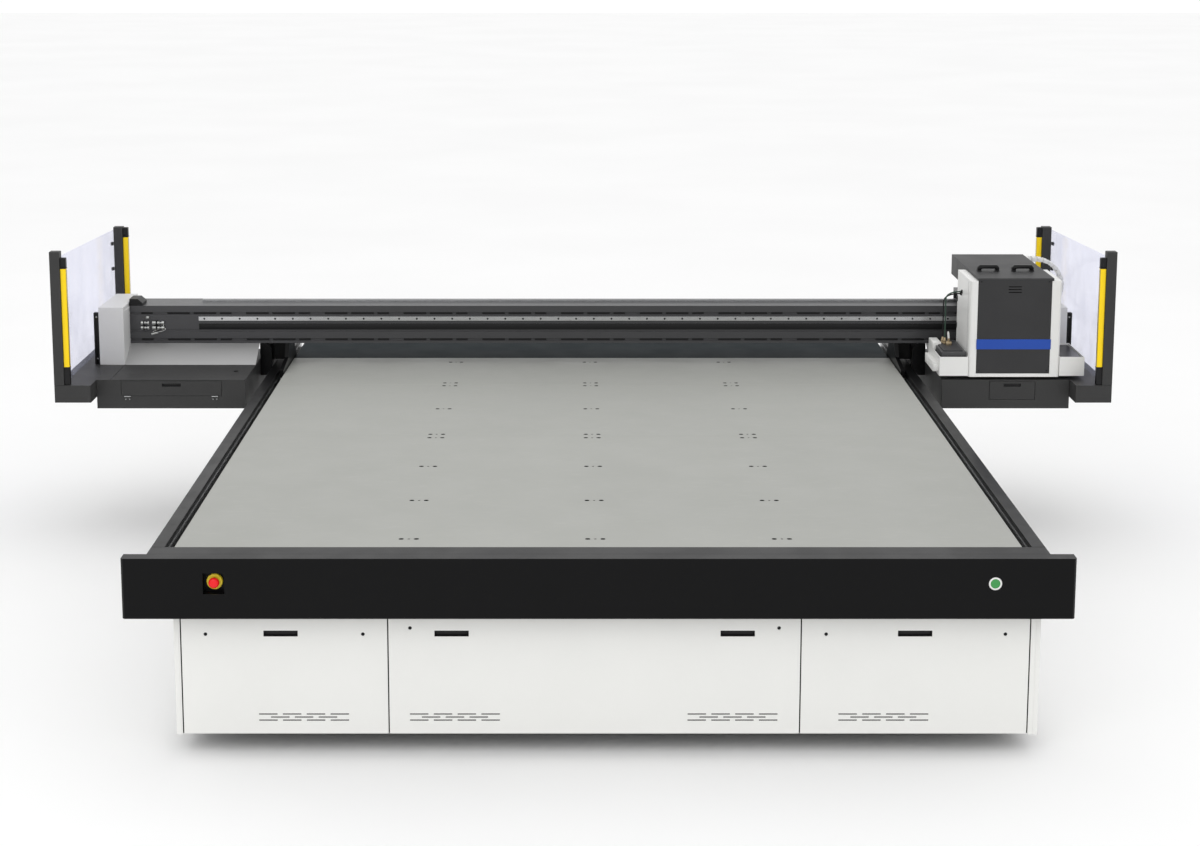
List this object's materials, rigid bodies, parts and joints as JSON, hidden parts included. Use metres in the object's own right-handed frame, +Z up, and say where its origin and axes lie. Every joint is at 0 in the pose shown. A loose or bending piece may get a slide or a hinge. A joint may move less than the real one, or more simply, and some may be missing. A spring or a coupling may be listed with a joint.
{
  "type": "flatbed uv printer",
  "caption": "Large flatbed UV printer: vacuum bed on a panelled base, with a travelling gantry, print carriage, service stations and light guards.",
  "frame": {"origin": "bottom centre of the bounding box, on the floor under the levelling feet", "axes": "+Z up, -Y to the front apron where the operator stands, +X to the right along the gantry"},
  "size_m": [5.264, 4.25, 1.5],
  "materials": {
    "frame_paint": "satin paint",
    "zinc": "zinc plated",
    "white_paint": "fine texture paint",
    "cast_metal": "painted casting",
    "bed_aluminium": "hard anodised, satin",
    "deck_paint": "gloss",
    "black_paint": "satin paint",
    "rail_steel": "ground",
    "signal_yellow": "moulded",
    "signal_red": "moulded",
    "signal_green": "translucent lens",
    "white_plastic": "moulded",
    "anodised_black": "black anodised",
    "black_plastic": "moulded",
    "grey_paint": "satin paint",
    "bare_sheet": "brushed sheet",
    "light_grey_paint": "painted",
    "curtain_yellow": "gloss paint",
    "tinted_window": "tinted acrylic",
    "cover_grey": "satin",
    "stripe_blue": "gloss film",
    "tank_plastic": "translucent"
  },
  "bodies": {
    "base": {"base_frame": "frame_paint", "levelling_feet": "zinc", "side_panels": "white_paint", "front_frame": "white_paint", "rear_panel": "white_paint", "control_cabinet": "frame_paint", "vacuum_pump": "cast_metal", "bed_plate_front": "bed_aluminium", "bed_plate_middle": "bed_aluminium", "bed_plate_rear": "bed_aluminium", "vacuum_plenum": "bed_aluminium", "rear_deck": "deck_paint", "side_frames": "black_paint", "gantry_rails": "rail_steel", "crossbeams": "black_paint", "front_apron": "black_paint", "estop_base": "signal_yellow", "start_bezel": "white_plastic"},
    "pins": {"registration_pins": "anodised_black"},
    "panel_left": {"front_panel_left": "white_paint"},
    "panel_centre": {"front_panel_centre": "white_paint"},
    "panel_right": {"front_panel_right": "white_paint"},
    "estop": {"estop_head": "signal_red"},
    "start": {"start_button": "signal_green"},
    "gantry": {"gantry_beam": "anodised_black", "beam_rails": "rail_steel", "beam_end_caps": "black_plastic", "gantry_legs": "black_paint", "rail_blocks": "rail_steel", "station_left": "grey_paint", "station_right": "grey_paint", "door_hinges": "grey_paint", "capping_unit": "black_plastic", "splash_plates": "bare_sheet", "column_covers": "light_grey_paint", "guard_bases": "grey_paint", "guard_posts": "grey_paint", "light_curtains": "curtain_yellow", "curtain_caps": "black_plastic", "guard_windows": "tinted_window", "cable_tray": "bare_sheet", "energy_chain_run": "white_plastic"},
    "door": {"station_door": "grey_paint"},
    "drawer": {"waste_drawer": "grey_paint"},
    "carriage": {"carriage_saddle": "anodised_black", "carriage_blocks": "rail_steel", "lift_drive": "rail_steel", "energy_chain_loop": "white_plastic"},
    "head": {"carriage_housing": "white_plastic", "carriage_front_cover": "cover_grey", "cover_stripe": "stripe_blue", "carriage_skirts": "white_plastic", "uv_lamps": "anodised_black", "head_plate": "bed_aluminium", "print_heads": "anodised_black", "ink_tanks": "tank_plastic", "lift_carriers": "rail_steel", "lamp_hoses": "black_plastic"},
    "cover": {"carriage_top_cover": "cover_grey", "cover_handles": "black_plastic"}
  },
  "joints": [
    {"name": "gantry_travel", "type": "slide", "parent": "base", "child": "gantry", "axis": [0, -1, 0], "range_m": [-0.3, 2.8]},
    {"name": "carriage_travel", "type": "slide", "parent": "gantry", "child": "carriage", "axis": [-1, 0, 0], "range_m": [0, 3.95]},
    {"name": "head_lift", "type": "slide", "parent": "carriage", "child": "head", "axis": [0, 0, 1], "range_m": [0, 0.1]},
    {"name": "cover_lift", "type": "slide", "parent": "head", "child": "cover", "axis": [0, 0, 1], "range_m": [0, 0.2]},
    {"name": "pin_lift", "type": "slide", "parent": "base", "child": "pins", "axis": [0, 0, 1], "range_m": [0, 0.012]},
    {"name": "estop_press", "type": "slide", "parent": "base", "child": "estop", "axis": [0, 1, 0], "range_m": [0, 0.005], "stiffness_N_per_m": 600},
    {"name": "start_press", "type": "slide", "parent": "base", "child": "start", "axis": [0, 1, 0], "range_m": [0, 0.004], "stiffness_N_per_m": 400},
    {"name": "panel_left_tilt", "type": "hinge", "parent": "base", "child": "panel_left", "pos_m": [-1.131, -2.001, 0.09], "axis": [1, 0, 0], "range_deg": [0, 35]},
    {"name": "panel_centre_tilt", "type": "hinge", "parent": "base", "child": "panel_centre", "pos_m": [0.034, -2.001, 0.09], "axis": [1, 0, 0], "range_deg": [0, 35]},
    {"name": "panel_right_tilt", "type": "hinge", "parent": "base", "child": "panel_right", "pos_m": [1.24, -2.001, 0.09], "axis": [1, 0, 0], "range_deg": [0, 35]},
    {"name": "station_door_hinge", "type": "hinge", "parent": "gantry", "child": "door", "pos_m": [-2.075, 0.838, 0.7425], "axis": [1, 0, 0], "range_deg": [0, 85]},
    {"name": "drawer_slide", "type": "slide", "parent": "gantry", "child": "drawer", "axis": [0, -1, 0], "range_m": [0, 0.22]}
  ]
}
